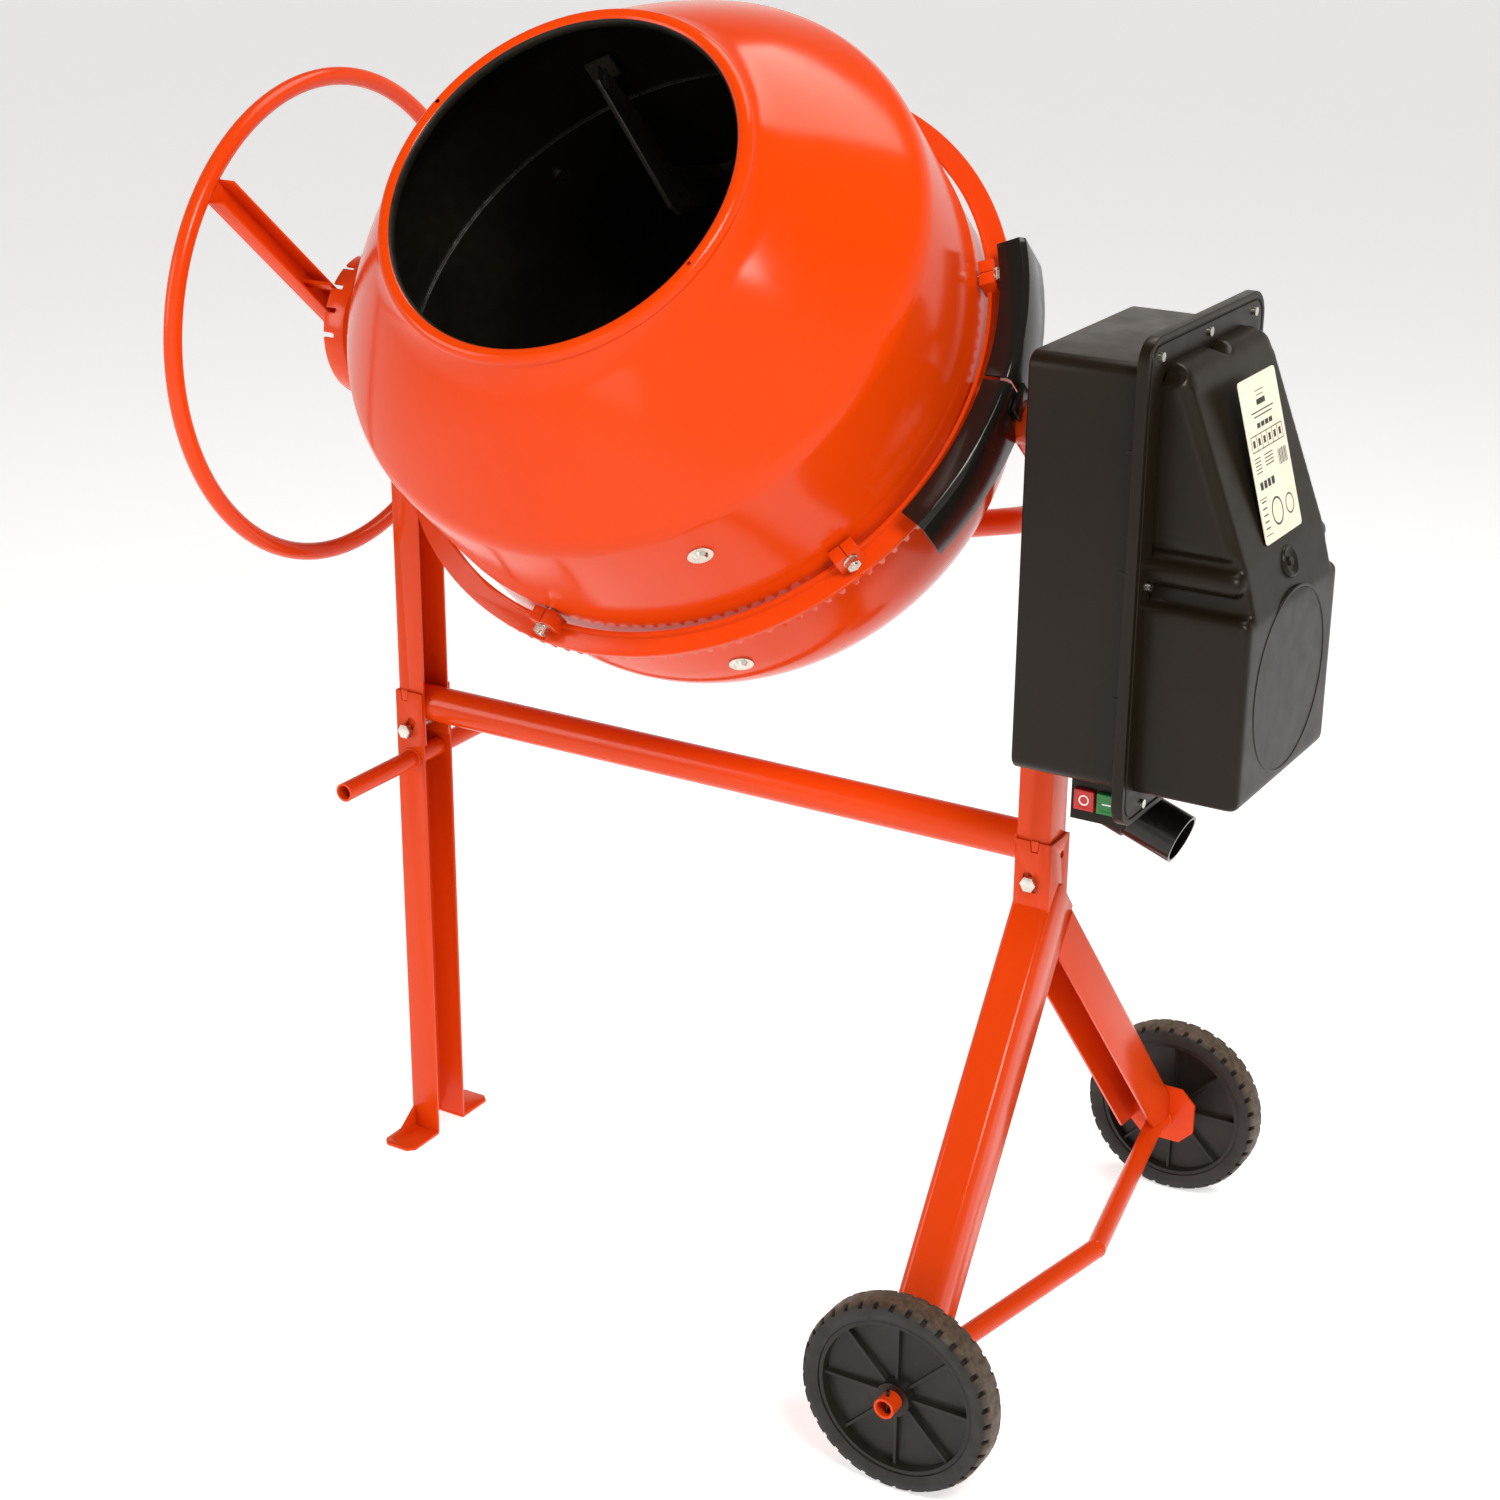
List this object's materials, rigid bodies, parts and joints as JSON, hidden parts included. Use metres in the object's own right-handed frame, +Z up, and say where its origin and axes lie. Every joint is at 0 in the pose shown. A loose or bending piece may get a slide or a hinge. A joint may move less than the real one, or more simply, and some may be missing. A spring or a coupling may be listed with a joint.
{
  "type": "concrete mixer",
  "caption": "Electric concrete mixer: tilting drum with ring gear and pinion drive, belt and motor in a side housing, locking handwheel, tubular stand on two wheels.",
  "frame": {"origin": "on the ground, at the centre of the bounding box in plan", "axes": "+X from the handwheel to the motor housing, along the tilt axis; +Y away from the side that the mouth leans to; +Z up"},
  "size_m": [1.115, 0.745, 1.3258],
  "materials": {
    "frame_paint": "gloss red-orange powder coat",
    "drum_paint": "gloss orange powder coat, near black inside the drum",
    "blade_black": "black paint",
    "zinc": "bright zinc plating",
    "steel": "turned steel",
    "cast_iron": "cast",
    "aluminium": "die cast",
    "bronze": "sintered bronze",
    "housing_plastic": "satin, lightly grained",
    "gloss_black": "gloss",
    "belt_rubber": "ribbed rubber",
    "label": "printed film, no text",
    "red_plastic": "satin",
    "green_plastic": "satin",
    "tyre_rubber": "moulded tread",
    "wheel_plastic": "satin"
  },
  "bodies": {
    "frame": {"left_lower_leg": "frame_paint", "foot_plates": "frame_paint", "left_upper_leg": "frame_paint", "lifting_handle": "frame_paint", "crossbar": "frame_paint", "right_upper_post": "frame_paint", "right_lower_post": "frame_paint", "near_wheel_leg": "frame_paint", "far_wheel_leg": "frame_paint", "axle_brackets": "frame_paint", "axle": "frame_paint", "axle_retainers": "zinc", "frame_bolts": "zinc", "left_bearing": "cast_iron", "right_bearing": "cast_iron", "locking_disc": "frame_paint", "housing_box": "housing_plastic", "housing_rim": "housing_plastic", "housing_cover": "housing_plastic", "housing_screws": "zinc", "rating_plate": "label", "motor_bracket": "steel", "motor": "aluminium", "drive_belt": "belt_rubber", "switch_box": "housing_plastic", "plug_inlet": "gloss_black"},
    "yoke": {"yoke_tubes": "frame_paint", "yoke_bosses": "frame_paint", "yoke_hub": "frame_paint", "left_trunnion": "steel", "right_trunnion": "steel", "shaft_bushes": "bronze", "spindle": "steel", "guard_upper": "gloss_black", "guard_lower": "gloss_black", "guard_clip": "gloss_black"},
    "drum": {"drum_upper": "drum_paint", "drum_lower": "drum_paint", "drum_hub": "drum_paint", "mixing_blades": "blade_black", "drum_bolts": "zinc", "ring_bolts": "zinc", "gear_segment_1": "drum_paint", "gear_segment_2": "drum_paint", "gear_segment_3": "drum_paint", "gear_segment_4": "drum_paint", "gear_segment_5": "drum_paint", "gear_segment_6": "drum_paint"},
    "pinion_shaft": {"pinion": "cast_iron", "drive_shaft": "steel", "drive_pulley": "aluminium"},
    "motor_rotor": {"motor_rotor": "steel"},
    "handwheel": {"handwheel": "frame_paint", "handwheel_hub": "frame_paint"},
    "stop_button": {"stop_button": "red_plastic"},
    "start_button": {"start_button": "green_plastic"},
    "near_wheel": {"near_tyre": "tyre_rubber", "near_wheel_disc": "wheel_plastic"},
    "far_wheel": {"far_tyre": "tyre_rubber", "far_wheel_disc": "wheel_plastic"}
  },
  "joints": [
    {"name": "tilt", "type": "hinge", "parent": "frame", "child": "yoke", "pos_m": [-0.069, 0.00847, 0.958], "axis": [1, 0, 0], "range_deg": [-160, 40]},
    {"name": "drum_spin", "type": "hinge", "parent": "yoke", "child": "drum", "pos_m": [-0.069, 0.00847, 0.958], "axis": [0, -0.7466, 0.6652], "continuous": true},
    {"name": "pinion_spin", "type": "hinge", "parent": "yoke", "child": "pinion_shaft", "pos_m": [0.231, 0.00847, 0.958], "axis": [1, 0, 0], "continuous": true},
    {"name": "motor_spin", "type": "hinge", "parent": "frame", "child": "motor_rotor", "pos_m": [0.371, 0.00847, 0.756], "axis": [1, 0, 0], "continuous": true},
    {"name": "handwheel_lock", "type": "slide", "parent": "yoke", "child": "handwheel", "axis": [1, 0, 0], "range_m": [0, 0.011]},
    {"name": "near_wheel_spin", "type": "hinge", "parent": "frame", "child": "near_wheel", "pos_m": [0.349, -0.32153, 0.1], "axis": [0, 1, 0], "continuous": true},
    {"name": "far_wheel_spin", "type": "hinge", "parent": "frame", "child": "far_wheel", "pos_m": [0.349, 0.33847, 0.1], "axis": [0, 1, 0], "continuous": true},
    {"name": "stop_press", "type": "slide", "parent": "frame", "child": "stop_button", "axis": [0, 1, 0], "range_m": [0, 0.003], "stiffness_N_per_m": 600},
    {"name": "start_press", "type": "slide", "parent": "frame", "child": "start_button", "axis": [0, 1, 0], "range_m": [0, 0.003], "stiffness_N_per_m": 600}
  ],
  "couplings": [
    {"joint": "pinion_spin", "follows": "drum_spin", "ratio": -11},
    {"joint": "motor_spin", "follows": "drum_spin", "ratio": -81.55}
  ]
}
